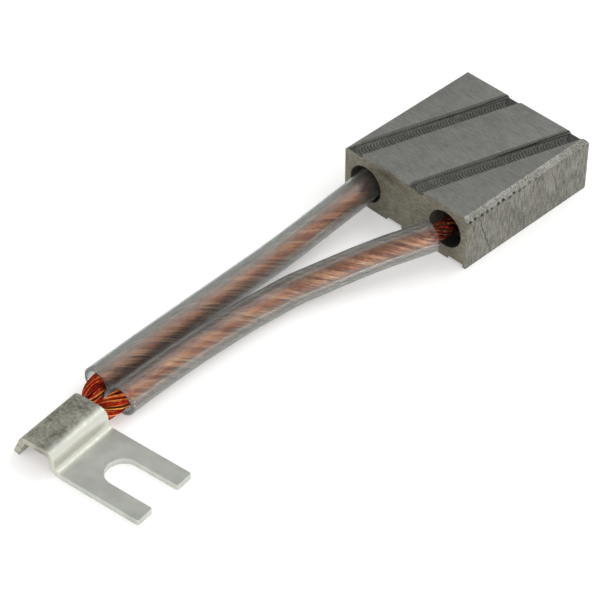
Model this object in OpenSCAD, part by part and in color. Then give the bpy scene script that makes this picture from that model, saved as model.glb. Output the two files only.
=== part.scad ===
// Carbon brush with two insulated flexes and a fork terminal.
//
// The block is pressed and ground graphite. It stands on z = 0 with the middle of its underside at
// the origin. Its flexes leave the lead end (-Y) and its running end (+Y) bears on the commutator.
// Two parallel grooves are milled at a slant across each broad face, deeper towards the running
// end. Each flex is tamped into a blind hole with conductive powder, runs in a clear sleeve, and is
// flattened beside the other under the fold of a tinned fork terminal, which lies on the same
// surface as the block.

/* [Block] */
// Width of the block, across the two lead holes
block_w = 25; // [18:0.5:40]
// Length of the block, from the lead end to the running end
block_l = 27.2; // [20:0.1:60]
// Thickness of the block
block_t = 9.5; // [8:0.1:16]
// Chamfer along the two long upper edges
edge_chamfer = 0.85; // [0.2:0.05:1.2]
// Rounding of the running end's upper edge
end_round = 1.2; // [0.3:0.05:2]
// Rounding of the running end's lower edge
lower_round = 0.3; // [0.1:0.05:1]

/* [Slanted grooves] */
// Width of a milled groove, square to its run
groove_w = 2.9; // [1:0.1:5]
// Depth of a milled groove at the lead end, where the holes leave little room
lead_groove_depth = 0.55; // [0.2:0.05:0.6]
// Depth of a milled groove at the running end
running_groove_depth = 1.05; // [0.2:0.05:1.1]
// Slant of the grooves from the block's length, in degrees
groove_slant = 17; // [0:1:30]
// Distance between the two grooves of one face, measured across the block
groove_pitch = 12.5; // [6:0.1:16]

/* [Lead holes] */
// Diameter of a lead hole
hole_d = 6.3; // [4:0.1:6.6]
// Depth of a lead hole, without its drilled point
hole_depth = 9; // [6:0.5:14]
// Distance between the two lead holes
hole_pitch = 16.3; // [10:0.1:17]
// Height of the right hole above the middle of the block, and of the left one below it
hole_rise = 0.5; // [0:0.05:0.6]
// Included angle of the drill's point
drill_point = 118; // [90:1:140]
// Depth of the open mouth in front of the tamped powder
mouth_depth = 3; // [1:0.1:5]
// Clearance around the tamped powder and the flex in it
tamp_clearance = 0.03; // [0.01:0.01:0.1]

/* [Flexes and sleeves] */
// Diameter of the stranded copper flex
flex_d = 2.9; // [1.5:0.1:3.2]
// Outer diameter of the clear sleeve
sleeve_d = 4.8; // [4.2:0.1:4.9]
// Wall of the clear sleeve
sleeve_wall = 0.5; // [0.3:0.05:0.6]

/* [Fork terminal] */
// Thickness of the tinned sheet
sheet_t = 1; // [0.5:0.05:1.2]
// Width of the sheet strip, along the fold
strip_w = 11.1; // [9:0.1:16]
// Reach of the fork plate from the fold's upright web to the prong tips
fork_reach = 14.75; // [12:0.05:25]
// Width of the fork's slot
slot_w = 5.2; // [3:0.1:6.5]
// Depth of the slot, from the prong tips to its round bottom
slot_depth = 10; // [6:0.1:12]
// Rounding of the prong tips' corners
tip_round = 0.3; // [0.1:0.05:1]
// Clear height under the fold's roof
fold_h = 3; // [2.6:0.05:4]
// Flat run of the roof between its two bends
roof_flat = 3.5; // [2.8:0.1:6]
// Inner radius of the bend from the plate up to the web
foot_bend_r = 0.8; // [0.3:0.05:1]
// Inner radius of the bend from the web to the roof
roof_bend_r = 0.6; // [0.2:0.05:0.9]
// Inner radius of the bend from the roof down to the hook flange
hook_bend_r = 0.4; // [0.2:0.05:0.8]
// Angle through which the hook flange is bent down from the roof, in degrees
hook_angle = 66; // [45:1:85]
// How far the flexes' cut ends stop short of the fold's near end
flex_set_back = 2.2; // [0.5:0.1:4]
// Clearance between a flattened flex and its neighbours in the fold
fold_clearance = 0.05; // [0.02:0.01:0.2]
// Turn of the terminal about the vertical, in degrees
terminal_turn = 7.5; // [0:0.5:15]

/* [Hidden] */
$fn = 64;
overrun = 5; // how far a cutting tool runs past what it cuts

lead_y = -block_l / 2;
running_y = block_l / 2;
hole_points = [[-hole_pitch / 2, block_t / 2 - hole_rise], [hole_pitch / 2, block_t / 2 + hole_rise]];
plug_y = lead_y + mouth_depth; // outer face of the tamped powder
plug_l = hole_depth - mouth_depth;
flex_bed = 1; // powder under the flex's buried end

// Where the web's outer face meets the floor at the fold's near end.
terminal_at = [2.3, -84.4, 0];
web_x = -sheet_t; // the web's inner face, in the terminal's own frame
roof_bend_x = web_x - roof_bend_r;
hook_bend_x = roof_bend_x - roof_flat;
hook_bend_z = fold_h - hook_bend_r;
// The hook flange ends with its inner corner on the floor.
hook_l = (hook_bend_z + hook_bend_r * cos(hook_angle)) / sin(hook_angle);
hook_bend_steps = 22;

// Half widths and places of the flattened flexes, side by side between the web and the hook,
// whose slanted inner face is nearest to them at their shoulders.
shoulder_z = 0.9 * fold_h;
hook_face_x = hook_bend_x - (hook_bend_r - cos(hook_angle) * (shoulder_z - hook_bend_z)) / sin(hook_angle);
fold_inner_w = web_x - hook_face_x;
flat_half_w = (fold_inner_w - 3 * fold_clearance) / 4;
flat_half_h = fold_h / 2 - fold_clearance;
flat_right_x = web_x - fold_clearance - flat_half_w;
flat_left_x = flat_right_x - 2 * flat_half_w - fold_clearance;

// Routes of the two leads from the block to the fold, along the middle of the flex.
left_run = [[-7.9, -12.8, 4.25], [-7.7, -14.5, 4.25], [-7.4, -17, 4.25], [-7.2, -20, 4.15],
            [-7.1, -25, 3.65], [-7.1, -30, 3.05], [-7.1, -35, 2.6], [-7, -40, 2.45],
            [-6.8, -45, 2.45], [-6.6, -50, 2.45], [-6.4, -55, 2.45], [-6.2, -60, 2.45],
            [-5.9, -65, 2.45], [-5.6, -70, 2.45]];
right_run = [[7.9, -16, 5.2], [7, -18.5, 5.05], [6, -20.8, 4.8], [5, -23, 4.5], [3.6, -26.4, 4],
             [2.3, -29.8, 3.45], [1.2, -33, 3], [0, -37, 2.6], [-0.5, -41, 2.45],
             [-0.9, -45.5, 2.45], [-1, -50, 2.45], [-1.1, -55, 2.45], [-1, -60, 2.45],
             [-0.8, -65, 2.45], [-0.5, -70, 2.45]];
flex_sides = 8;
sleeve_sides = 12;
// Places along the fold at which a flex is flattened: just outside it, just inside, and its cut end.
mouth_run = 1;
flat_stations = [strip_w + mouth_run, strip_w - mouth_run, flex_set_back];
flat_corner = 3.5; // power of the flattened flex's rounded-square section, where 2 is an ellipse

// Points of the terminal's own frame, turned and carried to its place.
function in_terminal(x, y, z) = terminal_at
    + [x * cos(terminal_turn) - y * sin(terminal_turn), x * sin(terminal_turn) + y * cos(terminal_turn), z];

// A flex's route: straight in its powder, then the free run, then flattened along the fold.
function flex_route(side, run, flat_x) = concat(
    [for (y = [plug_y + plug_l - flex_bed, plug_y]) [hole_points[side][0], y, hole_points[side][1]]],
    run,
    [for (y = flat_stations) in_terminal(flat_x, y, flat_half_h + fold_clearance)]);

function unit(v) = v / norm(v);
function heading(route, i) = unit(route[min(i + 1, len(route) - 1)] - route[max(i - 1, 0)]);
// One point of a section around route point i: a rounded square of half sizes w and h.
function section_point(route, i, w, h, power, a) =
    let (ahead = heading(route, i), side = unit(cross(ahead, [0, 0, 1])), up = cross(side, ahead),
         reach = 1 / pow(pow(abs(cos(a)), power) + pow(abs(sin(a)), power), 1 / power))
    route[i] + side * w * reach * cos(a) + up * h * reach * sin(a);
function ring(route, i, w, h, power, sides) =
    [for (k = [0:sides - 1]) section_point(route, i, w, h, power, 360 * k / sides)];
// The skin between rings from and from + 1 of a stack of rings, as quads.
function skin(rings, sides, start, flip) = [for (i = [0:rings - 2]) for (k = [0:sides - 1])
    let (a = start + i * sides + k, b = start + i * sides + (k + 1) % sides)
    flip ? [a, b, b + sides, a + sides] : [a, a + sides, b + sides, b]];

// A solid cord along a route, with its own half widths, half heights and corner powers.
module cord(route, widths, heights, powers, sides) {
    n = len(route);
    points = [for (i = [0:n - 1]) each ring(route, i, widths[i], heights[i], powers[i], sides)];
    caps = [[for (k = [0:sides - 1]) k], [for (k = [sides - 1:-1:0]) (n - 1) * sides + k]];
    polyhedron(points, concat(skin(n, sides, 0, false), caps));
}

// A hollow sleeve along a route.
module sleeve(route) {
    n = len(route);
    outer = [for (i = [0:n - 1]) each ring(route, i, sleeve_d / 2, sleeve_d / 2, 2, sleeve_sides)];
    bore_r = sleeve_d / 2 - sleeve_wall;
    inner = [for (i = [0:n - 1]) each ring(route, i, bore_r, bore_r, 2, sleeve_sides)];
    bore = n * sleeve_sides;
    last = (n - 1) * sleeve_sides;
    rims = [for (k = [0:sleeve_sides - 1]) each let (j = (k + 1) % sleeve_sides)
        [[k, j, bore + j, bore + k], [last + k, bore + last + k, bore + last + j, last + j]]];
    polyhedron(concat(outer, inner), concat(skin(n, sleeve_sides, 0, false),
        skin(n, sleeve_sides, bore, true), rims));
}

module flex(side, run, flat_x) {
    route = flex_route(side, run, flat_x);
    n = len(route);
    flat = [for (i = [0:n - 1]) i >= n - len(flat_stations)];
    cord(route, [for (f = flat) f ? flat_half_w : flex_d / 2],
        [for (f = flat) f ? flat_half_h : flex_d / 2],
        [for (f = flat) f ? flat_corner : 2], flex_sides);
}

// The block's outline seen along its length: square below, chamfered above.
module block_section() {
    polygon([[-block_w / 2, 0], [block_w / 2, 0], [block_w / 2, block_t - edge_chamfer],
             [block_w / 2 - edge_chamfer, block_t], [-block_w / 2 + edge_chamfer, block_t],
             [-block_w / 2, block_t - edge_chamfer]]);
}

// A square corner less its quarter circle, to be cut from the corner at the origin.
module corner_waste(r) {
    difference() {
        translate([-r, -r]) square(2 * r);
        translate([r, r]) circle(r);
        translate([r, -2 * r]) square([2 * r, 4 * r]);
        translate([-2 * r, r]) square([4 * r, 2 * r]);
    }
}

// The block's outline seen from its side, with both edges of the running end rounded.
module block_side() {
    difference() {
        translate([lead_y, 0]) square([block_l, block_t]);
        translate([running_y, 0]) rotate(90) corner_waste(lower_round);
        translate([running_y, block_t]) rotate(180) corner_waste(end_round);
    }
}

// The two milled grooves of the upper face, whose floors fall towards the running end.
module grooves() {
    run = block_l / cos(groove_slant) + overrun;
    depth = (lead_groove_depth + running_groove_depth) / 2;
    fall = atan((running_groove_depth - lead_groove_depth) / block_l);
    for (side = [-1, 1]) translate([side * groove_pitch / 2, 0, block_t - depth])
        rotate([-fall, 0, 0]) rotate(-groove_slant) translate([-groove_w / 2, -run / 2, 0])
            cube([groove_w, run, depth + overrun]);
}

module lead_holes() {
    for (p = hole_points) translate([p[0], lead_y, p[1]]) rotate([-90, 0, 0]) {
        translate([0, 0, -overrun]) cylinder(h = hole_depth + overrun, d = hole_d);
        translate([0, 0, hole_depth])
            cylinder(h = hole_d / 2 / tan(drill_point / 2), r1 = hole_d / 2, r2 = 0);
    }
}

module carbon_block() {
    color("dimgray") difference() {
        intersection() {
            translate([0, running_y, 0]) rotate([90, 0, 0]) linear_extrude(block_l) block_section();
            translate([-block_w / 2, 0, 0]) rotate([90, 0, 90]) linear_extrude(block_w) block_side();
        }
        grooves();
        translate([0, 0, block_t]) rotate([0, 180, 0]) grooves();
        lead_holes();
    }
}

// Conductive powder tamped around the flex in its hole.
module tamping_plug(side) {
    p = hole_points[side];
    color("darkslategray") translate([p[0], plug_y, p[1]]) rotate([-90, 0, 0]) difference() {
        cylinder(h = plug_l, d = hole_d - 2 * tamp_clearance);
        translate([0, 0, -overrun])
            cylinder(h = plug_l - flex_bed + tamp_clearance + overrun, d = flex_d + 2 * tamp_clearance);
    }
}

module tamping_plug_left() tamping_plug(0);
module tamping_plug_right() tamping_plug(1);
module flex_left() color("sienna") flex(0, left_run, flat_left_x);
module flex_right() color("sienna") flex(1, right_run, flat_right_x);
module sleeve_left() color("gainsboro", 0.4) sleeve(left_run);
module sleeve_right() color("gainsboro", 0.4) sleeve(right_run);

// A square bend of the sheet about the Y direction, from angle a0 on.
module sheet_bend(inner_r, a0) {
    translate([0, strip_w, 0]) rotate([90, 0, 0]) rotate(a0)
        rotate_extrude(angle = 90) translate([inner_r, 0]) square([sheet_t, strip_w]);
}

function arc_points(r, from, to) = [for (i = [0:hook_bend_steps])
    let (a = from + (to - from) * i / hook_bend_steps) [r * cos(a), r * sin(a)]];

// The hook's outline seen along the fold, about its bend's centre: down from the roof, then straight.
module hook_section() {
    end_a = 90 + hook_angle;
    outer_r = hook_bend_r + sheet_t;
    flange = hook_l * [-sin(end_a), cos(end_a)];
    polygon(concat(arc_points(outer_r, 90, end_a),
        [for (r = [outer_r, hook_bend_r]) [r * cos(end_a), r * sin(end_a)] + flange],
        arc_points(hook_bend_r, end_a, 90)));
}

module fork_plate() {
    slot_r = slot_w / 2;
    slot_y = [strip_w / 2 - slot_r, strip_w / 2 + slot_r];
    linear_extrude(sheet_t) difference() {
        translate([foot_bend_r, 0]) square([fork_reach - foot_bend_r, strip_w]);
        translate([fork_reach - slot_depth + slot_r, strip_w / 2]) {
            circle(slot_r);
            translate([0, -slot_r]) square([slot_depth, slot_w]);
        }
        for (y = [strip_w, slot_y[0]]) translate([fork_reach, y]) rotate(180) corner_waste(tip_round);
        for (y = [0, slot_y[1]]) translate([fork_reach, y]) rotate(90) corner_waste(tip_round);
    }
}

// One folded strip: the fork plate, an upright web, a roof over the flexes and a hook flange.
module fork_terminal() {
    color("silver") translate(terminal_at) rotate(terminal_turn) {
        fork_plate();
        translate([foot_bend_r, 0, sheet_t + foot_bend_r]) sheet_bend(foot_bend_r, 180);
        translate([web_x, 0, sheet_t + foot_bend_r])
            cube([sheet_t, strip_w, fold_h - roof_bend_r - sheet_t - foot_bend_r]);
        translate([roof_bend_x, 0, fold_h - roof_bend_r]) sheet_bend(roof_bend_r, 0);
        translate([hook_bend_x, 0, fold_h]) cube([roof_flat, strip_w, sheet_t]);
        translate([hook_bend_x, strip_w, hook_bend_z]) rotate([90, 0, 0])
            linear_extrude(strip_w) hook_section();
    }
}

carbon_block();
tamping_plug_left();
tamping_plug_right();
flex_left();
flex_right();
sleeve_left();
sleeve_right();
fork_terminal();
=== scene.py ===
# %% [markdown]
# # A graphite motor brush with two sleeved copper flexes
#
# A carbon brush is a block of pressed graphite that rubs on a spinning commutator. Two copper ropes
# carry the current away from it to a fork terminal, which a screw clamps. This lesson dresses the
# finished CAD model of one: its places and sizes all come from that model, and Blender adds what CAD
# leaves out, such as strands, milling marks, worn edges and the way each surface takes the light.

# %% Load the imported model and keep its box
import math

import bmesh
import bpy
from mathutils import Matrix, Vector


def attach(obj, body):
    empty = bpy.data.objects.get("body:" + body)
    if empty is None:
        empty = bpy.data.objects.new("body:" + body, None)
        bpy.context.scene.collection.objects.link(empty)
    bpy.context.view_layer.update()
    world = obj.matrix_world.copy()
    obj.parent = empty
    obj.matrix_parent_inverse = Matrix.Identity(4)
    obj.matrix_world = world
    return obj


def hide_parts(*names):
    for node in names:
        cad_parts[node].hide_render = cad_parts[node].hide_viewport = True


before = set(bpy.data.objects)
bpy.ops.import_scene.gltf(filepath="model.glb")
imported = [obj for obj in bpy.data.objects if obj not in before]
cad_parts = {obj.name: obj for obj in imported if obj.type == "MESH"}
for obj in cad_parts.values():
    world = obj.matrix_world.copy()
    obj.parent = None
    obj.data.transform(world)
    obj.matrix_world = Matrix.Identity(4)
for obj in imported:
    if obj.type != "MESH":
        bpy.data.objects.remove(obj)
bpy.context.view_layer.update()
MM = 0.001

# %% [markdown]
# The camera comes first, because it decides how much detail anything needs. It looks down at the
# brush from over the right of its leads, through a long lens, as a catalogue picture is taken: from
# far away, so that near and far ends keep nearly the same scale.

# %% Camera
CAMERA_AT = Vector((191.98, -225.33, 243.17)) * MM
CAMERA_TURN = -45.338  # degrees round from looking along +Y
CAMERA_FALL = 42.039  # degrees below the horizon
lens = bpy.data.cameras.new("camera")
lens.lens = 149.27
lens.sensor_width = 36
lens.clip_start, lens.clip_end = 0.01, 5
camera = bpy.data.objects.new("camera", lens)
camera.location = CAMERA_AT
camera.rotation_euler = (math.radians(90 - CAMERA_FALL), 0, math.radians(-CAMERA_TURN))
bpy.context.scene.collection.objects.link(camera)
bpy.context.scene.camera = camera
print("camera", round(CAMERA_AT.length / MM), "mm from the block")

# %% [markdown]
# ## The two leads
#
# Each lead is a soft copper rope in a loose clear sleeve. Its route is a short list of points along
# the middle of the sleeve. A Catmull-Rom spline passes through every one of them, and gives a curve
# without corners. The rope is thinner than the bore, and both ropes are drawn together under the
# terminal's fold, so each rope lies against the side of its sleeve that faces the other rope.

# %% Sizes of the leads, and their routes in millimetres
FLEX_D, SLEEVE_D, SLEEVE_WALL = 2.9, 4.8, 0.5
LEFT_RUN = [
    (-7.9, -12.8, 4.25), (-7.7, -14.5, 4.25), (-7.4, -17, 4.25), (-7.2, -20, 4.15), (-7.1, -25, 3.65),
    (-7.1, -30, 3.05), (-7.1, -35, 2.6), (-7, -40, 2.45), (-6.8, -45, 2.45), (-6.6, -50, 2.45),
    (-6.4, -55, 2.45), (-6.2, -60, 2.45), (-5.9, -65, 2.45), (-5.6, -70, 2.45),
]
RIGHT_RUN = [
    (7.9, -16, 5.2), (7, -18.5, 5.05), (6, -20.8, 4.8), (5, -23, 4.5), (3.6, -26.4, 4), (2.3, -29.8, 3.45),
    (1.2, -33, 3), (0, -37, 2.6), (-0.5, -41, 2.45), (-0.9, -45.5, 2.45), (-1, -50, 2.45),
    (-1.1, -55, 2.45), (-1, -60, 2.45), (-0.8, -65, 2.45), (-0.5, -70, 2.45),
]
TERMINAL_AT = Vector((2.3, -84.4, 0))
TERMINAL_TURN = math.radians(7.5)


def in_terminal(x, y, z):
    """A point of the terminal's own frame, in the model's frame, in millimetres."""
    c, s = math.cos(TERMINAL_TURN), math.sin(TERMINAL_TURN)
    return TERMINAL_AT + Vector((x * c - y * s, x * s + y * c, z))


def smooth_route(points, step=0.4):
    """Points about step millimetres apart on a Catmull-Rom spline through the given ones."""
    p = [Vector(q) for q in points]
    p = [2 * p[0] - p[1], *p, 2 * p[-1] - p[-2]]
    out = []
    for i in range(1, len(p) - 2):
        a, b, c, d = p[i - 1 : i + 3]
        count = max(1, round((c - b).length / step))
        for t in (j / count for j in range(count)):
            out.append(0.5 * (2 * b + (c - a) * t + (2 * a - 5 * b + 4 * c - d) * t**2
                              + (3 * b - a - 3 * c + d) * t**3))
    return [*out, p[-2]]


def length_of(points):
    return sum((b - a).length for a, b in zip(points, points[1:]))


# %% Where each rope runs: straight in its hole, loose in its sleeve, pressed flat under the fold
FOLD_HALF_W = 1.09


def rope_route(hole, run, flat_x, lean):
    """The rope's centre line, in millimetres, which leans sideways in its sleeve."""
    buried = [Vector((hole[0], y, hole[1])) for y in (-5.6, -10.6)]
    ends = len(run) - 1
    inside = [Vector(p) + Vector((lean, 0, -0.16)) * min(1, 4 * i / ends) for i, p in enumerate(run)]
    pressed = [in_terminal(flat_x, y, z) for y, z in ((12.1, 1.5), (10.1, 1.5), (6, 1.6), (2.6, 2.2), (1, 2.3))]
    return smooth_route([*buried, *inside, *pressed])


left_rope_line = rope_route((-8.15, 4.25), LEFT_RUN, -4.36, 0.33)
right_rope_line = rope_route((8.15, 5.25), RIGHT_RUN, -2.14, -0.33)
print("rope lengths, mm:", round(length_of(left_rope_line), 1), round(length_of(right_rope_line), 1))

# %% [markdown]
# ### Two helpers for colour and nodes
#
# A hex colour is written for a screen, and shaders want light that adds up, so one function turns
# it linear. The other adds a node to any tree, sets its properties and fills its inputs: a tuple of
# a node and an output is a link, and anything else is a value.

# %% Colour and node helpers


def linear(code):
    """A hex sRGB colour as linear RGBA."""
    parts = [int(code[i : i + 2], 16) / 255 for i in (1, 3, 5)]
    return (*[c / 12.92 if c <= 0.04045 else ((c + 0.055) / 1.055) ** 2.4 for c in parts], 1)


def add(tree, kind, inputs=None, stops=(), **settings):
    """Adds a node with its settings and inputs, and its colour stops where it is a ramp."""
    node = tree.nodes.new(kind)
    for name, value in settings.items():
        setattr(node, name, value)
    for name, value in (inputs or {}).items():
        if isinstance(value, tuple) and isinstance(value[0], bpy.types.Node):
            tree.links.new(value[0].outputs[value[1]], node.inputs[name])
        else:
            node.inputs[name].default_value = value
    for i, (place, code) in enumerate(stops):
        marks = node.color_ramp.elements
        mark = marks[i] if i < 2 else marks.new(place)
        mark.position, mark.color = place, linear(code)
    return node


def new_material(name, **principled):
    """A material with its tree and its Principled shader, whose plain inputs are set here."""
    material = bpy.data.materials.new(name)
    material.use_nodes = True
    shader = material.node_tree.nodes["Principled BSDF"]
    for words, value in principled.items():
        shader.inputs[words.replace("_", " ")].default_value = value
    return material, material.node_tree, shader


# %% [markdown]
# ### Copper wire
#
# The rope is soft copper wire, drawn bright and then bunched by the dozen. Copper reddens in air, so
# the uncovered stretch at the terminal looks orange-red, while the wire inside the sleeve stays
# pinkish brown. Every strand takes its own tone from an attribute, painted light for some strands and
# painted shade for others at random, because one strand lies in the light where the next lies in shade.
# A second attribute says how far the air has reddened it, and a third marks the wire in its hole, painted darker
# there as shade.

# %% Material: bunched copper wire
copper_wire, tree, shader = new_material("bunched_copper_wire", Metallic=0.8, Roughness=0.4)
tone = add(tree, "ShaderNodeAttribute", attribute_name="tone")
bare = add(tree, "ShaderNodeAttribute", attribute_name="bare")
place = add(tree, "ShaderNodeTexCoord")
stain = add(tree, "ShaderNodeTexNoise", {"Vector": (place, "Object"), "Scale": 1 / (0.5 * MM), "Detail": 3})
shade = add(tree, "ShaderNodeMath", {0: (tone, "Fac"), 1: (stain, "Fac")}, operation="ADD")
half = add(tree, "ShaderNodeMath", {0: (shade, 0), 1: 0.5}, operation="MULTIPLY")
# Each ramp runs from painted shade between strands at its dark end to painted glints at its light end, over the
# wire's own colour.
covered_with_glints = add(tree, "ShaderNodeValToRGB", {"Fac": (half, 0)},
              [(0.26, "#8c4526"), (0.5, "#dc9064"), (0.72, "#ffd0a8")])
reddened_with_glints = add(tree, "ShaderNodeValToRGB", {"Fac": (half, 0)},
               [(0.26, "#3a0606"), (0.44, "#a81c0c"), (0.6, "#dc4a1c"), (0.72, "#ffb058")])
aired = add(tree, "ShaderNodeMix", {0: (bare, "Fac"), 6: (covered_with_glints, 0), 7: (reddened_with_glints, 0)}, data_type="RGBA")
# Inside its hole the wire is mixed towards a near-black brown, a little patchily: painted shade of the hole.
hole_shade = add(tree, "ShaderNodeAttribute", attribute_name="hole_shade")
hole_shade_patches = add(tree, "ShaderNodeMapRange", {"Value": (stain, "Fac"), 1: 0.4, 2: 0.62, 3: 1.0, 4: 0.45})
hole_shaded = add(tree, "ShaderNodeMath", {0: (hole_shade, "Fac"), 1: (hole_shade_patches, 0)}, operation="MULTIPLY")
colour = add(tree, "ShaderNodeMix", {0: (hole_shaded, 0), 6: (aired, 2), 7: linear("#2b1c18")}, data_type="RGBA")
tree.links.new(colour.outputs[2], shader.inputs["Base Color"])
print("copper reads the attributes tone, bare and sooty")

# %% [markdown]
# ### A rope from one node tree
#
# A rope repeats one thing, a strand, along one path, which is just what Geometry Nodes are for. The
# tree takes a guide line and makes a copy of it for every strand. Six bundles turn one way round
# the guide, and the strands of each bundle turn the other way round the bundle, as in a real rope,
# so that it doesn't unwind. The guide carries its own frame of side and up directions, because a
# frame that Blender works out may twist on a bend.

# %% The guide line with its frame


def frames(line):
    """Side and up directions at each point of a line."""
    out = []
    for i in range(len(line)):
        ahead = (line[min(i + 1, len(line) - 1)] - line[max(i - 1, 0)]).normalized()
        side = ahead.cross(Vector((0, 0, 1))).normalized()
        out.append((side, side.cross(ahead)))
    return out


def rope_guide(name, line):
    """A chain of edges along the line that carries what the rope's node tree needs at each point."""
    mesh = bpy.data.meshes.new(name)
    mesh.from_pydata([p * MM for p in line], [(i, i + 1) for i in range(len(line) - 1)], [])
    run, total = [0.0], length_of(line)
    for a, b in zip(line, line[1:]):
        run.append(run[-1] + (b - a).length)
    side, up = zip(*frames(line))
    into_fold = [min(1, max(0, (r - (total - 11)) / 1.6)) for r in run]
    nipped = [1 - 0.6 * min(1, max(0, (r - (total - 4)) / 3)) for r in run]
    swell = [math.exp(-(((r - (total - 13.2)) / 1.6) ** 2)) for r in run]
    narrow = FOLD_HALF_W / (FLEX_D / 2)
    values = {
        "run": [r * MM for r in run],
        "wide": [1 + (narrow - 1) * f + 0.12 * w for f, w in zip(into_fold, swell)],
        "tall": nipped,
        "bare": [1.0 if r > total - 15.7 or r < 11 else 0.0 for r in run],
        # The last value marks the wire inside its hole, where it gets painted shade.
        "hole_shade": [min(1, max(0, (11.5 - r) / 2)) for r in run],
    }
    for key, numbers in values.items():
        mesh.attributes.new(key, "FLOAT", "POINT").data.foreach_set("value", numbers)
    for key, vectors in (("side", side), ("up", up)):
        flat = [c for v in vectors for c in v]
        mesh.attributes.new(key, "FLOAT_VECTOR", "POINT").data.foreach_set("vector", flat)
    return mesh


# %% The rope's node tree
ROPE_SIZES = {
    "Bundles": 8, "Strands in a bundle": 11, "Ring of bundles": 0.97 * MM, "Ring of strands": 0.37 * MM,
    "Strand radius": 0.105 * MM, "Lay of the rope": 13 * MM, "Lay of a bundle": 15 * MM,
    "Shade core radius": 0.8 * MM, "Looseness": 0.3 * MM, "Seed": 4,
}


def new_node_tree(name, sizes):
    """A Geometry Nodes tree with a geometry input and output and the named sizes."""
    tree = bpy.data.node_groups.new(name, "GeometryNodeTree")
    tree.interface.new_socket("Geometry", in_out="INPUT", socket_type="NodeSocketGeometry")
    tree.interface.new_socket("Geometry", in_out="OUTPUT", socket_type="NodeSocketGeometry")
    for key, value in sizes.items():
        kind = "NodeSocketInt" if isinstance(value, int) else "NodeSocketFloat"
        tree.interface.new_socket(key, in_out="INPUT", socket_type=kind).default_value = value
    return tree, add(tree, "NodeGroupInput")


rope, given = new_node_tree("twisted_rope", ROPE_SIZES)
guide = add(rope, "GeometryNodeMeshToCurve", {0: (given, "Geometry")})
count = add(rope, "ShaderNodeMath", {0: (given, "Bundles"), 1: (given, "Strands in a bundle")},
            operation="MULTIPLY")
copies = add(rope, "GeometryNodeDuplicateElements", {"Geometry": (guide, 0), "Amount": (count, 0)},
             domain="SPLINE")
share = add(rope, "ShaderNodeMath", {0: (copies, 1), 1: (given, "Strands in a bundle")}, operation="DIVIDE")
bundle = add(rope, "ShaderNodeMath", {0: (share, 0)}, operation="FLOOR")
run = add(rope, "GeometryNodeInputNamedAttribute", {"Name": "run"})

# Turns about the rope, then its angle.
rope_share = add(rope, "ShaderNodeMath", {0: (bundle, 0), 1: (given, "Bundles")}, operation="DIVIDE")
rope_turns = add(rope, "ShaderNodeMath", {0: (run, 0), 1: (given, "Lay of the rope")}, operation="DIVIDE")
rope_part = add(rope, "ShaderNodeMath", {0: (rope_share, 0), 1: (rope_turns, 0)}, operation="SUBTRACT")
rope_angle = add(rope, "ShaderNodeMath", {0: (rope_part, 0), 1: math.tau}, operation="MULTIPLY")
# Turns about the bundle, which start elsewhere in each bundle.
strand_turns = add(rope, "ShaderNodeMath", {0: (run, 0), 1: (given, "Lay of a bundle")}, operation="DIVIDE")
strand_part = add(rope, "ShaderNodeMath", {0: (share, 0), 1: (strand_turns, 0)}, operation="SUBTRACT")
strand_angle = add(rope, "ShaderNodeMath", {0: (strand_part, 0), 1: math.tau}, operation="MULTIPLY")

ring = add(rope, "ShaderNodeCombineXYZ", {"X": (given, "Ring of bundles")})
ring_at = add(rope, "ShaderNodeVectorRotate", {"Vector": (ring, 0), "Angle": (rope_angle, 0)},
              rotation_type="Z_AXIS")
small = add(rope, "ShaderNodeCombineXYZ", {"X": (given, "Ring of strands")})
small_at = add(rope, "ShaderNodeVectorRotate", {"Vector": (small, 0), "Angle": (strand_angle, 0)},
               rotation_type="Z_AXIS")
across = add(rope, "ShaderNodeVectorMath", {0: (ring_at, 0), 1: (small_at, 0)}, operation="ADD")
parts = add(rope, "ShaderNodeSeparateXYZ", {0: (across, 0)})
wide = add(rope, "GeometryNodeInputNamedAttribute", {"Name": "wide"})
sideways = add(rope, "ShaderNodeMath", {0: (parts, "X"), 1: (wide, 0)}, operation="MULTIPLY")
tall = add(rope, "GeometryNodeInputNamedAttribute", {"Name": "tall"})
upward = add(rope, "ShaderNodeMath", {0: (parts, "Y"), 1: (tall, 0)}, operation="MULTIPLY")
side = add(rope, "GeometryNodeInputNamedAttribute", {"Name": "side"}, data_type="FLOAT_VECTOR")
up = add(rope, "GeometryNodeInputNamedAttribute", {"Name": "up"}, data_type="FLOAT_VECTOR")
to_side = add(rope, "ShaderNodeVectorMath", {0: (side, 0), "Scale": (sideways, 0)}, operation="SCALE")
to_up = add(rope, "ShaderNodeVectorMath", {0: (up, 0), "Scale": (upward, 0)}, operation="SCALE")
shift = add(rope, "ShaderNodeVectorMath", {0: (to_side, 0), 1: (to_up, 0)}, operation="ADD")
# Strands stray a little from their places.
lost = add(rope, "ShaderNodeTexNoise", {"Scale": 1 / (2 * MM), "W": (copies, 1)}, noise_dimensions="4D")
centred = add(rope, "ShaderNodeVectorMath", {0: (lost, "Color"), 1: (0.5, 0.5, 0.5)}, operation="SUBTRACT")
stray = add(rope, "ShaderNodeVectorMath", {0: (centred, 0), "Scale": (given, "Looseness")}, operation="SCALE")
moved = add(rope, "ShaderNodeVectorMath", {0: (shift, 0), 1: (stray, 0)}, operation="ADD")
placed = add(rope, "GeometryNodeSetPosition", {"Geometry": (copies, 0), "Offset": (moved, 0)})
luck = add(rope, "FunctionNodeRandomValue", {"ID": (copies, 1), "Seed": (given, "Seed")}, data_type="FLOAT")
toned = add(rope, "GeometryNodeStoreNamedAttribute",
            {"Geometry": (placed, 0), "Name": "tone", "Value": (luck, 1)}, data_type="FLOAT", domain="CURVE")
strand_ring = add(rope, "GeometryNodeCurvePrimitiveCircle", {"Resolution": 4, "Radius": (given, "Strand radius")})
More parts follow.
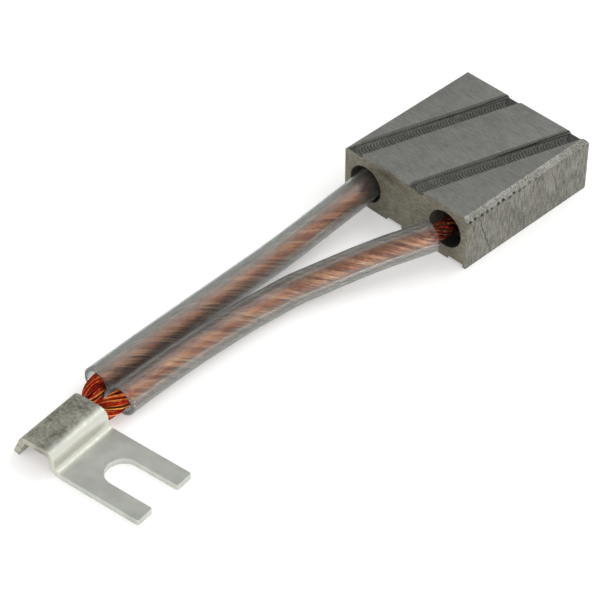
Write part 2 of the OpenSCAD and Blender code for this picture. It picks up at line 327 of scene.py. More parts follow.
strands = add(rope, "GeometryNodeCurveToMesh",
              {"Curve": (toned, 0), "Profile Curve": (strand_ring, 0), "Fill Caps": True})
# The filler tube along the guide stores no tone, so it takes the darkest end of the ramp: painted shade in the gaps
# between the strands.
shade_core_ring = add(rope, "GeometryNodeCurvePrimitiveCircle", {"Resolution": 8, "Radius": (given, "Shade core radius")})
shade_core = add(rope, "GeometryNodeCurveToMesh",
           {"Curve": (guide, 0), "Profile Curve": (shade_core_ring, 0), "Fill Caps": True})
both = add(rope, "GeometryNodeJoinGeometry", {0: (strands, 0)})
rope.links.new(shade_core.outputs[0], both.inputs[0])
smooth = add(rope, "GeometryNodeSetShadeSmooth", {"Geometry": (both, 0), "Shade Smooth": True})
real = add(rope, "GeometryNodeRealizeInstances", {0: (smooth, 0)})
dressed = add(rope, "GeometryNodeSetMaterial", {0: (real, 0), "Material": copper_wire})
add(rope, "NodeGroupOutput", {"Geometry": (dressed, 0)})
print("rope tree:", len(rope.nodes), "nodes")

# %% Bake a node tree into a plain mesh


def bake(name, mesh, tree, **sizes):
    """An object of what the tree makes of this mesh, with the modifier already gone."""
    piece = bpy.data.objects.new(name, mesh)
    bpy.context.scene.collection.objects.link(piece)
    modifier = piece.modifiers.new("nodes", "NODES")
    modifier.node_group = tree
    for socket in tree.interface.items_tree:
        if socket.in_out == "INPUT" and socket.name in sizes:
            modifier[socket.identifier] = sizes[socket.name]
    graph = bpy.context.evaluated_depsgraph_get()
    baked = bpy.data.meshes.new_from_object(piece.evaluated_get(graph), depsgraph=graph)
    piece.modifiers.clear()
    piece.data = baked
    print(f"{name}: {sum(len(p.vertices) - 2 for p in baked.polygons)} triangles")
    return piece


flexes = {}
for hand, line in (("left", left_rope_line), ("right", right_rope_line)):
    flexes[hand] = bake(f"rope_{hand}", rope_guide(f"guide_{hand}", line), rope, Seed=4 if hand == "left" else 9)

# %% [markdown]
# ### Clear sleeves
#
# The sleeve is soft clear PVC tube, extruded and then cut square. It is a real tube here, with an
# inner and an outer wall. Soft PVC is a little milky: the copper shows plainly through the middle,
# where the eye crosses little of the wall, and at the edges, where it looks along the wall, the tube
# turns to a smoky grey, partly from that longer way through the wall and partly a painted reflection
# of dark surroundings. Layer Weight's Facing says where that is.

# %% Material: soft clear PVC
clear_sleeve, tree, shader = new_material(
    "soft_clear_pvc", Roughness=0.16, IOR=1.45, Transmission_Weight=0.9
)
edge_on = add(tree, "ShaderNodeLayerWeight", {"Blend": 0.5})
# Towards the edges the colour darkens to grey: partly the longer way through the wall, partly a painted dark
# reflection.
edge_grey_and_reflection = add(tree, "ShaderNodeValToRGB", {"Fac": (edge_on, "Facing")},
            [(0.02, "#e2e2dc"), (0.16, "#c8ccc6"), (0.36, "#a0a6a1"), (0.75, "#6d7471")])
tree.links.new(edge_grey_and_reflection.outputs[0], shader.inputs["Base Color"])
haze = add(tree, "ShaderNodeMapRange", {"Value": (edge_on, "Facing"), 1: 0.02, 2: 0.5, 3: 0.36, 4: 0.9})
tree.links.new(haze.outputs[0], shader.inputs["Alpha"])
print("sleeve material:", clear_sleeve.name)

# %% A tube swept along a line


def tube(name, line, outer_r, wall, material, sides=36):
    """A hollow tube along a line in millimetres, with softly rounded rims."""
    mesh, bm = bpy.data.meshes.new(name), bmesh.new()
    lip, last = 0.12, len(line) - 1
    loops = []

    def loop(i, radius, push):
        side, up = axes[i]
        ahead = up.cross(side)
        centre = line[i] + ahead * push
        angles = [math.tau * k / sides for k in range(sides)]
        return [bm.verts.new((centre + (side * math.cos(a) + up * math.sin(a)) * radius) * MM) for a in angles]

    axes = frames(line)
    loops += [loop(0, outer_r - lip, 0), loop(0, outer_r, lip)]
    loops += [loop(i, outer_r, 0) for i in range(1, last)]
    loops += [loop(last, outer_r, -lip), loop(last, outer_r - lip, 0)]
    inner_r = outer_r - wall
    loops += [loop(last, inner_r + lip, 0), loop(last, inner_r, -lip)]
    loops += [loop(i, inner_r, 0) for i in range(last - 1, 0, -1)]
    loops += [loop(0, inner_r, lip), loop(0, inner_r + lip, 0)]
    for a, b in zip(loops, [*loops[1:], loops[0]]):
        for k in range(sides):
            j = (k + 1) % sides
            bm.faces.new((a[k], b[k], b[j], a[j])).smooth = True
    bmesh.ops.recalc_face_normals(bm, faces=bm.faces)
    bm.to_mesh(mesh)
    bm.free()
    mesh.materials.append(material)
    piece = bpy.data.objects.new(name, mesh)
    bpy.context.scene.collection.objects.link(piece)
    print(f"{name}: {len(mesh.polygons)} faces")
    return piece


sleeves = {
    "left": tube("clear_sleeve_left", smooth_route(LEFT_RUN, 0.8), SLEEVE_D / 2, SLEEVE_WALL, clear_sleeve),
    "right": tube("clear_sleeve_right", smooth_route(RIGHT_RUN, 0.8), SLEEVE_D / 2, SLEEVE_WALL, clear_sleeve),
}

# %% [markdown]
# ## The fork terminal
#
# It is one strip of tinned sheet, cut flat and then folded, and it is made here in the same order.
# Flat, it is a grid whose rows bend round the slot. Then every row is carried to its place on the
# folded side view, and the strip gets its thickness on both sides of the middle of the sheet.

# %% Side view of the strip, from the prong tips to the end of the hook
SHEET_T, STRIP_W, SLOT_R, SLOT_CENTRE, TIP_R, REACH = 1.0, 11.1, 2.6, 7.4, 0.3, 14.75
# Each run is a length in millimetres, and a turn in degrees or 0.
FOLDS = [(13.95, 0), (1.3 * math.pi / 2, -90), (0.6, 0), (1.1 * math.pi / 2, 90), (3.5, 0),
         (0.9 * math.radians(66), 66), (3.02, 0)]


def on_profile(u):
    """The middle of the sheet at length u: its x and z, and the direction square to it."""
    x, z, heading = REACH, SHEET_T / 2, math.pi
    for length, degrees in FOLDS:
        part = min(u, length)
        turn = math.radians(degrees) * part / length
        if degrees:
            radius = length / math.radians(degrees)
            x += radius * (math.sin(heading + turn) - math.sin(heading))
            z -= radius * (math.cos(heading + turn) - math.cos(heading))
        else:
            x, z = x + part * math.cos(heading), z + part * math.sin(heading)
        heading += turn
        u -= part
        if u <= 1e-9:
            break
    return x, z, (math.sin(heading), -math.cos(heading))


strip_l = sum(length for length, _ in FOLDS)
print("developed length of the strip, mm:", round(strip_l, 2))

# %% Rows of the flat strip
quarter = [math.radians(d) for d in range(0, 91, 10)]
rows = [TIP_R * (1 - math.cos(a)) for a in quarter[::2]] + [TIP_R]
rows += [TIP_R + (SLOT_CENTRE - TIP_R) * i / 10 for i in range(1, 10)]
rows += [SLOT_CENTRE + SLOT_R * math.sin(a) for a in quarter]
first = rows[-1]
rows += [first + (strip_l - first) * i / 44 for i in range(1, 45)]


def half_slot(u):
    """Half the slot's width at length u."""
    if u <= SLOT_CENTRE:
        return SLOT_R
    return math.sqrt(max(0, SLOT_R**2 - (u - SLOT_CENTRE) ** 2))


def tip_inset(u):
    """How far a rounded tip corner pulls the edge in at length u."""
    return TIP_R - math.sqrt(max(0, TIP_R**2 - (TIP_R - u) ** 2)) if u < TIP_R else 0


# %% Cut, fold and thicken the strip


def folded_strip(name, material, columns=8):
    """The folded strip as a closed mesh, with both faces and its edges."""
    bm, faces = bmesh.new(), []

    def corner(u, v, up):
        x, z, normal = on_profile(u)
        out = up * SHEET_T / 2
        return bm.verts.new(in_terminal(x + normal[0] * out, v, z + normal[1] * out) * MM)

    grid = {}
    for i, u in enumerate(rows):
        slot, inset = half_slot(u), tip_inset(u)
        for half in (0, 1):
            edge = (inset, STRIP_W / 2 - slot - inset)
            for j in range(columns + 1):
                v = edge[0] + (edge[1] - edge[0]) * j / columns
                v = v if half == 0 else STRIP_W - v
                if half == 1 and j == columns and slot < 1e-6:
                    grid[i, half, j] = grid[i, 0, j]
                else:
                    grid[i, half, j] = (corner(u, v, 1), corner(u, v, -1))
    last = len(rows) - 1
    for i in range(last):
        for half in (0, 1):
            for j in range(columns):
                a, b, c, d = (grid[i, half, j], grid[i, half, j + 1], grid[i + 1, half, j + 1], grid[i + 1, half, j])
                faces += [[a[0], b[0], c[0], d[0]], [a[1], d[1], c[1], b[1]]]
            for j in (0, columns):
                a, b = grid[i, half, j], grid[i + 1, half, j]
                if j == 0 or half_slot(rows[i]) > 1e-6:
                    faces.append([a[0], b[0], b[1], a[1]])
    for half in (0, 1):
        for j in range(columns):
            for i in (0, last):
                a, b = grid[i, half, j], grid[i, half, j + 1]
                faces.append([a[0], b[0], b[1], a[1]])
    for loop in faces:
        bm.faces.new(list(dict.fromkeys(loop))).smooth = True
    bmesh.ops.recalc_face_normals(bm, faces=bm.faces)
    print("open edges of the strip:", sum(1 for e in bm.edges if len(e.link_faces) != 2))
    mesh = bpy.data.meshes.new(name)
    bm.to_mesh(mesh)
    bm.free()
    mesh.materials.append(material)
    piece = bpy.data.objects.new(name, mesh)
    bpy.context.scene.collection.objects.link(piece)
    edge = piece.modifiers.new("rolled edge", "BEVEL")
    edge.width, edge.segments, edge.limit_method, edge.angle_limit = 0.13 * MM, 2, "ANGLE", math.radians(50)
    edge.harden_normals = True
    return piece


# %% Material: tinned sheet
tinned_sheet, tree, shader = new_material("tinned_pressed_sheet", Metallic=1, Roughness=0.46)
place = add(tree, "ShaderNodeTexCoord")
own = add(tree, "ShaderNodeMapping", {"Vector": (place, "Object"), "Location": TERMINAL_AT * MM,
                                      "Rotation": (0, 0, TERMINAL_TURN)}, vector_type="TEXTURE")
own_at = add(tree, "ShaderNodeSeparateXYZ", {0: (own, 0)})
cloud = add(tree, "ShaderNodeTexNoise", {"Vector": (place, "Object"), "Scale": 1 / (3 * MM), "Detail": 4})
fleck = add(tree, "ShaderNodeTexNoise", {"Vector": (place, "Object"), "Scale": 1 / (0.5 * MM), "Detail": 3})
plate_tone = add(tree, "ShaderNodeValToRGB", {"Fac": (cloud, "Fac")}, [(0.3, "#c0c3bb"), (0.7, "#d6d8d1")])
mixed = add(tree, "ShaderNodeMath", {0: (cloud, "Fac"), 1: (fleck, "Fac")}, operation="ADD")
halved = add(tree, "ShaderNodeMath", {0: (mixed, 0), 1: 0.5}, operation="MULTIPLY")
roof_tone = add(tree, "ShaderNodeValToRGB", {"Fac": (halved, 0)}, [(0.38, "#7a796d"), (0.62, "#bdbcae")])
on_roof = add(tree, "ShaderNodeMapRange", {"Value": (own_at, "X"), 1: -0.4 * MM, 2: -2.2 * MM, 3: 0.0, 4: 1.0})
base = add(tree, "ShaderNodeMix", {0: (on_roof, 0), 6: (plate_tone, 0), 7: (roof_tone, 0)}, data_type="RGBA")
# The web and its foot are mixed towards pale #dadad0: a painted highlight on the bend up from the plate.
up_web = add(tree, "ShaderNodeMapRange", {"Value": (own_at, "X"), 1: -1.1 * MM, 2: -0.5 * MM, 3: 0.0, 4: 1.0})
past_foot = add(tree, "ShaderNodeMapRange", {"Value": (own_at, "X"), 1: 0.6 * MM, 2: 1.2 * MM, 3: 1.0, 4: 0.0})
painted_web_light = add(tree, "ShaderNodeMath", {0: (up_web, 0), 1: (past_foot, 0)}, operation="MULTIPLY")
colour = add(tree, "ShaderNodeMix", {0: (painted_web_light, 0), 6: (base, 2), 7: linear("#dadad0")}, data_type="RGBA")
tree.links.new(colour.outputs[2], shader.inputs["Base Color"])
dull = add(tree, "ShaderNodeMapRange", {"Value": (fleck, "Fac"), 1: 0.3, 2: 0.7, 3: 0.4, 4: 0.56})
tree.links.new(dull.outputs[0], shader.inputs["Roughness"])
bump = add(tree, "ShaderNodeBump", {"Height": (fleck, "Fac"), "Strength": 0.15, "Distance": 0.05 * MM})
tree.links.new(bump.outputs[0], shader.inputs["Normal"])
terminal = folded_strip("folded_fork_terminal", tinned_sheet)

# %% [markdown]
# ## The graphite block
#
# The block is graphite powder, pressed and baked, then sawn to size and ground flat. Grinding leaves
# fine lines across the broad faces, and the saw leaves upright scratches down the narrow sides. The
# material works on Object coordinates, so that every pattern has its real size in millimetres, and
# the surface normal says which face a point is on.

# %% Material: pressed and ground graphite
graphite, tree, shader = new_material("pressed_ground_graphite", Specular_IOR_Level=0.45)
place = add(tree, "ShaderNodeTexCoord")
at = add(tree, "ShaderNodeSeparateXYZ", {0: (place, "Object")})
facing = add(tree, "ShaderNodeNewGeometry")
faces_to = add(tree, "ShaderNodeSeparateXYZ", {0: (facing, "Normal")})
size_of = add(tree, "ShaderNodeVectorMath", {0: (facing, "Normal")}, operation="ABSOLUTE")
square = add(tree, "ShaderNodeSeparateXYZ", {0: (size_of, 0)})
on_side = add(tree, "ShaderNodeMapRange", {"Value": (square, "X"), 1: 0.965, 2: 0.99, 3: 0.0, 4: 1.0})
on_lead_face = add(tree, "ShaderNodeMapRange", {"Value": (faces_to, "Y"), 1: -0.8, 2: -0.95, 3: 0.0, 4: 1.0})

# Lines a few tenths of a millimetre apart: across the broad faces, and upright on the sides.
across = add(tree, "ShaderNodeMapping", {
    "Vector": (place, "Object"), "Scale": (1 / (1.1 * MM), 1 / (0.2 * MM), 1 / (0.2 * MM))})
upright = add(tree, "ShaderNodeMapping", {
    "Vector": (place, "Object"), "Scale": (1 / (0.22 * MM), 1 / (0.22 * MM), 1 / (1.6 * MM))})
ground = add(tree, "ShaderNodeTexNoise", {"Vector": (across, 0), "Scale": 1.0, "Detail": 3})
sawn = add(tree, "ShaderNodeTexNoise", {"Vector": (upright, 0), "Scale": 1.0, "Detail": 4})
lines = add(tree, "ShaderNodeMix", {0: (on_side, 0), 2: (ground, "Fac"), 3: (sawn, "Fac")})
patches = add(tree, "ShaderNodeTexNoise", {"Vector": (place, "Object"), "Scale": 1 / (2.2 * MM), "Detail": 3})
grit = add(tree, "ShaderNodeTexNoise", {"Vector": (place, "Object"), "Scale": 1 / (0.22 * MM), "Detail": 2})
both = add(tree, "ShaderNodeMix", {0: 0.42, 2: (lines, 0), 3: (grit, "Fac")})
texture = add(tree, "ShaderNodeMix", {0: 0.22, 2: (both, 0), 3: (patches, "Fac")})

# Three finishes: ground broad faces, sawn sides, and the browner lead face.
broad = add(tree, "ShaderNodeValToRGB", {"Fac": (texture, 0)}, [(0.38, "#646560"), (0.62, "#7e7f79")])
sides = add(tree, "ShaderNodeValToRGB", {"Fac": (texture, 0)},
            [(0.38, "#45433c"), (0.48, "#6e6c62"), (0.62, "#928f85")])
brown = add(tree, "ShaderNodeValToRGB", {"Fac": (texture, 0)}, [(0.4, "#625e50"), (0.6, "#989381")])
two = add(tree, "ShaderNodeMix", {0: (on_side, 0), 6: (broad, 0), 7: (sides, 0)}, data_type="RGBA")
three = add(tree, "ShaderNodeMix", {0: (on_lead_face, 0), 6: (two, 2), 7: (brown, 0)}, data_type="RGBA")

# %% Graphite: cracks, and a row of chipped pits down the sides, painted in as shade
wander = add(tree, "ShaderNodeTexNoise", {"Vector": (place, "Object"), "Scale": 1 / (1.5 * MM), "Detail": 3})
leaning = add(tree, "ShaderNodeMath", {0: (at, "Z"), 1: 0.364, 2: (at, "Y")}, operation="MULTIPLY_ADD")
astray = add(tree, "ShaderNodeMath", {0: (wander, "Fac"), 1: 1.1 * MM, 2: (leaning, 0)}, operation="MULTIPLY_ADD")
cracked = None
for y, dark in ((-7.5, 1.0), (5.2, 0.4), (8.6, 0.5), (10.4, 0.35)):
    apart = add(tree, "ShaderNodeMath", {0: (astray, 0), 1: y * MM}, operation="SUBTRACT")
    near = add(tree, "ShaderNodeMath", {0: (apart, 0)}, operation="ABSOLUTE")
    line = add(tree, "ShaderNodeMapRange", {"Value": (near, 0), 1: 0.04 * MM, 2: 0.13 * MM, 3: dark, 4: 0.0})
    cracked = line if cracked is None else add(
        tree, "ShaderNodeMath", {0: (cracked, 0), 1: (line, 0)}, operation="MAXIMUM")
low_enough = add(tree, "ShaderNodeMath", {0: (at, "Z"), 1: 7.9 * MM}, operation="LESS_THAN")
side_only = add(tree, "ShaderNodeMath", {0: (on_side, 0), 1: (low_enough, 0)}, operation="MULTIPLY")
cracks = add(tree, "ShaderNodeMath", {0: (cracked, 0), 1: (side_only, 0)}, operation="MULTIPLY")
with_cracks = add(tree, "ShaderNodeMix", {0: (cracks, 0), 6: (three, 2), 7: linear("#2c2b27")}, data_type="RGBA")

# The pits are not cut into the block: each is a near-black spot, the painted shade inside a chip.
row = add(tree, "ShaderNodeMapping", {"Vector": (place, "Object"), "Location": (0, 0, -8.55 * MM)})
cells = add(tree, "ShaderNodeMapping", {
    "Vector": (row, 0), "Location": (0.17, 0, 0.17), "Scale": (0.01, 1 / (1.2 * MM), 1 / (0.8 * MM))})
pits = add(tree, "ShaderNodeTexVoronoi", {"Vector": (cells, 0), "Scale": 1.0, "Randomness": 0.35})
pit = add(tree, "ShaderNodeMapRange", {"Value": (pits, "Distance"), 1: 0.24, 2: 0.36, 3: 1.0, 4: 0.0})
from_row = add(tree, "ShaderNodeMath", {0: (at, "Z"), 1: 8.5 * MM}, operation="SUBTRACT")
row_off = add(tree, "ShaderNodeMath", {0: (from_row, 0)}, operation="ABSOLUTE")
in_row = add(tree, "ShaderNodeMath", {0: (row_off, 0), 1: 0.4 * MM}, operation="LESS_THAN")
thinning = add(tree, "ShaderNodeMapRange", {"Value": (at, "Y"), 1: -4 * MM, 2: 3 * MM, 3: 1.0, 4: 0.3})
outer_side = add(tree, "ShaderNodeMath", {0: (off_centre := add(
    tree, "ShaderNodeMath", {0: (at, "X")}, operation="ABSOLUTE"), 0), 1: 12 * MM}, operation="GREATER_THAN")
pit_row = add(tree, "ShaderNodeMath", {0: (pit, 0), 1: (in_row, 0)}, operation="MULTIPLY")
pit_thin = add(tree, "ShaderNodeMath", {0: (pit_row, 0), 1: (thinning, 0)}, operation="MULTIPLY")
pit_shade = add(tree, "ShaderNodeMath", {0: (pit_thin, 0), 1: (outer_side, 0)}, operation="MULTIPLY")

# A dark brown patch near the lead face's upper edge, between the holes.
brown_patch_at = add(tree, "ShaderNodeMapping", {
    "Vector": (place, "Object"), "Location": (-3.6 * MM, -13.6 * MM, 8.3 * MM), "Scale": (4.4, 1, 1.3)},
    vector_type="TEXTURE")
brown_patch_far = add(tree, "ShaderNodeVectorMath", {0: (brown_patch_at, 0)}, operation="LENGTH")
brown_patch = add(tree, "ShaderNodeMapRange", {"Value": (brown_patch_far, "Value"), 1: 0.2 * MM, 2: 1.1 * MM, 3: 0.6, 4: 0.0})
with_brown_patch = add(tree, "ShaderNodeMix", {0: (brown_patch, 0), 6: (with_cracks, 2), 7: linear("#3c2a20")}, data_type="RGBA")

# %% Graphite: painted shade in the grooves, and worn edges with painted highlights
# Groove floors and the slanted groove walls are painted dark: painted shade in the grooves.
height = add(tree, "ShaderNodeMath", {0: (at, "Z"), 1: 4.75 * MM}, operation="SUBTRACT")
from_middle = add(tree, "ShaderNodeMath", {0: (height, 0)}, operation="ABSOLUTE")
sunk = add(tree, "ShaderNodeMath", {0: (from_middle, 0), 1: 4.5 * MM}, operation="LESS_THAN")
level = add(tree, "ShaderNodeMath", {0: (square, "Z"), 1: 0.6}, operation="GREATER_THAN")
in_groove = add(tree, "ShaderNodeMath", {0: (sunk, 0), 1: (level, 0)}, operation="MULTIPLY")
slanted_wall = add(tree, "ShaderNodeMath", {0: (square, "X"), 1: 0.956}, operation="COMPARE")
slanted_wall.inputs[2].default_value = 0.006
groove_shade_mask = add(tree, "ShaderNodeMath", {0: (in_groove, 0), 1: (slanted_wall, 0)}, operation="MAXIMUM")
groove_shade_tone = add(tree, "ShaderNodeValToRGB", {"Fac": (grit, "Fac")}, [(0.35, "#262723"), (0.65, "#434440")])
with_groove_shade = add(tree, "ShaderNodeMix", {0: (groove_shade_mask, 0), 6: (with_brown_patch, 2), 7: (groove_shade_tone, 0)}, data_type="RGBA")
# Edges, chamfers and the feed marks' ridges, whose normals lean off the axes, are made lighter: partly rubbed wear,
# partly a painted highlight where they catch the light.
xy = add(tree, "ShaderNodeMath", {0: (square, "X"), 1: (square, "Y")}, operation="MAXIMUM")
squarest = add(tree, "ShaderNodeMath", {0: (xy, 0), 1: (square, "Z")}, operation="MAXIMUM")
slanting = add(tree, "ShaderNodeMapRange", {"Value": (squarest, 0), 1: 0.94, 2: 0.85, 3: 0.0, 4: 0.75})
from_hole = add(tree, "ShaderNodeMath", {0: (off_centre, 0), 1: 8.15 * MM}, operation="SUBTRACT")
hole_way = add(tree, "ShaderNodeCombineXYZ", {"X": (from_hole, 0), "Y": (height, 0)})
hole_far = add(tree, "ShaderNodeVectorMath", {0: (hole_way, 0)}, operation="LENGTH")
clear_of_hole = add(tree, "ShaderNodeMath", {0: (hole_far, "Value"), 1: 3.75 * MM}, operation="GREATER_THAN")
off_ends = add(tree, "ShaderNodeMath", {0: (at, "Y")}, operation="ABSOLUTE")
by_side = add(tree, "ShaderNodeMath", {0: (off_centre, 0), 1: 11.3 * MM}, operation="GREATER_THAN")
by_end = add(tree, "ShaderNodeMath", {0: (off_ends, 0), 1: 13.2 * MM}, operation="GREATER_THAN")
outside = add(tree, "ShaderNodeMath", {0: (by_side, 0), 1: (by_end, 0)}, operation="MAXIMUM")
ridge_tone = add(tree, "ShaderNodeMath", {0: (outside, 0), 1: (in_groove, 0)}, operation="MAXIMUM")
wear_and_highlight_region = add(tree, "ShaderNodeMath", {0: (clear_of_hole, 0), 1: (ridge_tone, 0)}, operation="MULTIPLY")
wear_and_highlight_amount = add(tree, "ShaderNodeMath", {0: (slanting, 0), 1: (wear_and_highlight_region, 0)}, operation="MULTIPLY")
wear_and_highlight_tone = add(tree, "ShaderNodeValToRGB", {"Fac": (texture, 0)}, [(0.42, "#6f6e66"), (0.58, "#bab8ae")])
with_wear_and_highlight = add(tree, "ShaderNodeMix", {0: (wear_and_highlight_amount, 0), 6: (with_groove_shade, 2), 7: (wear_and_highlight_tone, 0)}, data_type="RGBA")
all_over = add(tree, "ShaderNodeMix", {0: (pit_shade, 0), 6: (with_wear_and_highlight, 2), 7: linear("#1f1f1c")}, data_type="RGBA")
tree.links.new(all_over.outputs[2], shader.inputs["Base Color"])
gloss = add(tree, "ShaderNodeMapRange", {"Value": (texture, 0), 1: 0.35, 2: 0.65, 3: 0.62, 4: 0.44})
tree.links.new(gloss.outputs[0], shader.inputs["Roughness"])
bump = add(tree, "ShaderNodeBump", {"Height": (texture, 0), "Strength": 0.5, "Distance": 0.12 * MM})
tree.links.new(bump.outputs[0], shader.inputs["Normal"])

# %% Block with worn edges


def copy_of_node(node, name, material):
    """A clean copy of a CAD node: its loose triangles joined, and flat faces made whole."""
    bm = bmesh.new()
    bm.from_mesh(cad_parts[node].data)
    bmesh.ops.remove_doubles(bm, verts=bm.verts, dist=0.002 * MM)
    bmesh.ops.dissolve_limit(bm, angle_limit=math.radians(0.5), verts=bm.verts, edges=bm.edges)
    mesh = bpy.data.meshes.new(name)
    bm.to_mesh(mesh)
    bm.free()
    for polygon in mesh.polygons:
        polygon.use_smooth = True
    mesh.materials.append(material)
    piece = bpy.data.objects.new(name, mesh)
    bpy.context.scene.collection.objects.link(piece)
    return piece


block = copy_of_node("carbon_block", "worn_graphite_block", graphite)
bm = bmesh.new()
bm.from_mesh(block.data)
worn_by = bm.edges.layers.float.new("bevel_weight_edge")
for edge in bm.edges:
    if len(edge.link_faces) == 2 and edge.calc_face_angle() > math.radians(25):
        x, y, z = ((edge.verts[0].co + edge.verts[1].co) / 2 / MM).to_tuple()
        outer = (abs(x) > 11.6) + (abs(x) > 12.4) + (abs(y) > 13.5) + (z < 0.02) + (z > 9.48) + (8.6 < z < 8.7)
        edge[worn_by] = 1.0 if outer > 1 else 0.4
bm.to_mesh(block.data)
bm.free()
worn = block.modifiers.new("worn edge", "BEVEL")
worn.width, worn.segments, worn.limit_method = 0.3 * MM, 3, "WEIGHT"
worn.harden_normals = True
print("block faces:", len(block.data.polygons))

# %% [markdown]
# ### Feed marks in the grooves
#
# A small end mill cuts each groove in one pass. Between one turn of the cutter and the next the block
# moves on a little, which leaves a row of crescents on the floor, each with the cutter's own radius.
# They repeat along a path, so Geometry Nodes make them: points along each groove's centre line, and
# on every point one low ridge, an arc with a flat diamond for its section, half sunk in the floor.

# %% Centre lines of the four grooves, on their floors
GROOVE_W, GROOVE_SLANT, GROOVE_PITCH = 2.9, math.radians(17), 12.5
LEAD_DEPTH, RUNNING_DEPTH, BLOCK_L, BLOCK_T = 0.55, 1.05, 27.2, 9.5
lines_mesh = bpy.data.meshes.new("groove_centre_lines")
spots = []
for turned in (1, -1):
    for hand in (-1, 1):
        for y in (-11.9, 12.8):
            depth = (LEAD_DEPTH + RUNNING_DEPTH) / 2 + (RUNNING_DEPTH - LEAD_DEPTH) * y / BLOCK_L
            x = hand * GROOVE_PITCH / 2 + y * math.tan(GROOVE_SLANT)
            spots.append(Vector((turned * x, y, BLOCK_T - depth if turned > 0 else depth)) * MM)
lines_mesh.from_pydata(spots, [(i, i + 1) for i in range(0, len(spots), 2)], [])
print("grooves marked:", len(lines_mesh.edges))

# %% The feed marks' node tree
MARK_SIZES = {
    "Feed a turn": 0.52 * MM, "Cutter radius": 1.4 * MM, "Ridge height": 0.1 * MM, "Seed": 3,
}
feed_marks, given = new_node_tree("feed_marks", MARK_SIZES)
lines = add(feed_marks, "GeometryNodeMeshToCurve", {0: (given, "Geometry")})
turns = add(feed_marks, "GeometryNodeCurveToPoints", {0: (lines, 0), "Length": (given, "Feed a turn")}, mode="LENGTH")
arc = add(feed_marks, "GeometryNodeCurveArc", {
    "Resolution": 16, "Radius": (given, "Cutter radius"), "Start Angle": math.radians(200),
    "Sweep Angle": math.radians(148)})
diamond = add(feed_marks, "GeometryNodeCurvePrimitiveCircle", {"Resolution": 4, "Radius": (given, "Ridge height")})
flat = add(feed_marks, "GeometryNodeTransform", {0: (diamond, 0), "Scale": (1.6, 1.0, 1.0)})
upright = add(feed_marks, "GeometryNodeSetCurveNormal", {0: (arc, 0)}, mode="Z_UP")
ridge = add(feed_marks, "GeometryNodeCurveToMesh", {"Curve": (upright, 0), "Profile Curve": (flat, 0), "Fill Caps": True})
along = add(feed_marks, "FunctionNodeAlignRotationToVector", {"Vector": (turns, "Tangent")}, axis="Y", pivot_axis="Z")
uneven = add(feed_marks, "FunctionNodeRandomValue", {2: 0.97, 3: 1.0, "Seed": (given, "Seed")}, data_type="FLOAT")
marks = add(feed_marks, "GeometryNodeInstanceOnPoints", {
    "Points": (turns, "Points"), "Instance": (ridge, 0), "Rotation": (along, 0), "Scale": (uneven, 1)})
real = add(feed_marks, "GeometryNodeRealizeInstances", {0: (marks, 0)})
dressed = add(feed_marks, "GeometryNodeSetMaterial", {0: (real, 0), "Material": graphite})
add(feed_marks, "NodeGroupOutput", {"Geometry": (dressed, 0)})
cutter_marks = bake("milled_feed_marks", lines_mesh, feed_marks)

# %% Powder plugs
tamped_powder, tree, shader = new_material("tamped_powder", Roughness=0.9, Base_Color=linear("#3a2c25"))
for hand in ("left", "right"):
    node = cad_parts[f"tamping_plug_{hand}"]
    for slot in node.material_slots:
        slot.material = tamped_powder

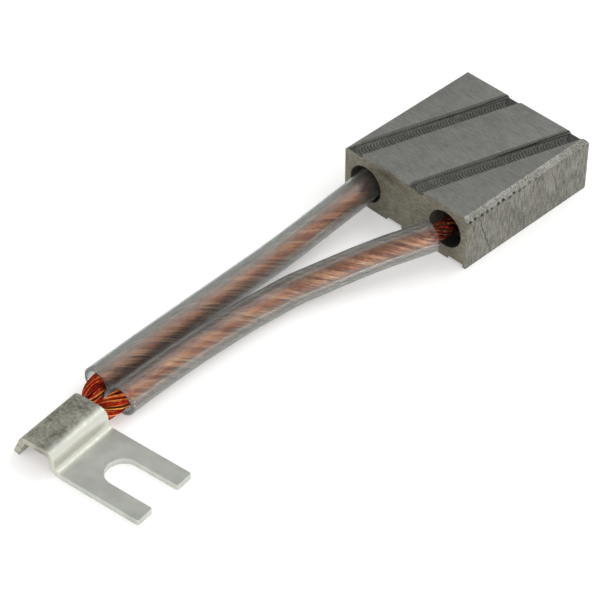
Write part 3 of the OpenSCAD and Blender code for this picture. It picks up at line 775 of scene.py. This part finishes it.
# %% Floor, lamps and world
floor_mesh = bpy.data.meshes.new("floor")
floor_mesh.from_pydata([(-3, -3, 0), (3, -3, 0), (3, 3, 0), (-3, 3, 0)], [], [(0, 1, 2, 3)])
floor = bpy.data.objects.new("floor", floor_mesh)
floor.location.z = -0.02 * MM
bpy.context.scene.collection.objects.link(floor)
paper, tree, shader = new_material("white_paper", Roughness=0.9, Base_Color=linear("#f4f4f2"))
seen = add(tree, "ShaderNodeLightPath")
either = add(tree, "ShaderNodeMath", {0: (seen, "Is Camera Ray"), 1: (seen, "Is Glossy Ray")}, operation="MAXIMUM")
any_of = add(tree, "ShaderNodeMath", {0: (either, 0), 1: (seen, "Is Transmission Ray")}, operation="MAXIMUM")
lift = add(tree, "ShaderNodeMath", {0: (any_of, 0), 1: 0.35}, operation="MULTIPLY")
shader.inputs["Emission Color"].default_value = (1, 1, 1, 1)
tree.links.new(lift.outputs[0], shader.inputs["Emission Strength"])
floor_mesh.materials.append(paper)

world = bpy.data.worlds.new("studio")
world.use_nodes = True
sky = world.node_tree
sky.nodes["Background"].inputs["Color"].default_value = (1, 1, 1, 1)
seen = add(sky, "ShaderNodeLightPath")
either = add(sky, "ShaderNodeMath", {0: (seen, "Is Camera Ray"), 1: 0.48}, operation="MULTIPLY")
level = add(sky, "ShaderNodeMath", {0: (either, 0), 1: 0.52}, operation="ADD")
sky.links.new(level.outputs[0], sky.nodes["Background"].inputs["Strength"])
bpy.context.scene.world = world


def softbox(name, at, aim, size, watts):
    """A square soft light, at and aimed in millimetres."""
    light = bpy.data.lights.new(name, "AREA")
    light.shape, light.size, light.size_y, light.energy = "RECTANGLE", size[0] * MM, size[1] * MM, watts
    lamp = bpy.data.objects.new(name, light)
    lamp.location = Vector(at) * MM
    lamp.rotation_euler = (Vector(aim) - Vector(at)).to_track_quat("-Z", "Y").to_euler()
    bpy.context.scene.collection.objects.link(lamp)


softbox("key", (50, 190, 300), (0, -35, 0), (300, 240), 0.45)
softbox("side fill", (350, -30, 120), (0, -35, 0), (260, 200), 0.42)
softbox("front fill", (-60, -350, 160), (0, -35, 0), (260, 200), 0.25)
bpy.context.scene.view_settings.view_transform = "Standard"

# %% Put every piece on the body it rides with, and hide the CAD node it takes the place of
for hand, line in (("left", left_rope_line), ("right", right_rope_line)):
    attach(flexes[hand], "root")
    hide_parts(f"flex_{hand}")
    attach(sleeves[hand], "root")
    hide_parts(f"sleeve_{hand}")
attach(terminal, "root")
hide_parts("fork_terminal")
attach(block, "root")
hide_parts("carbon_block")
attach(cutter_marks, "root")
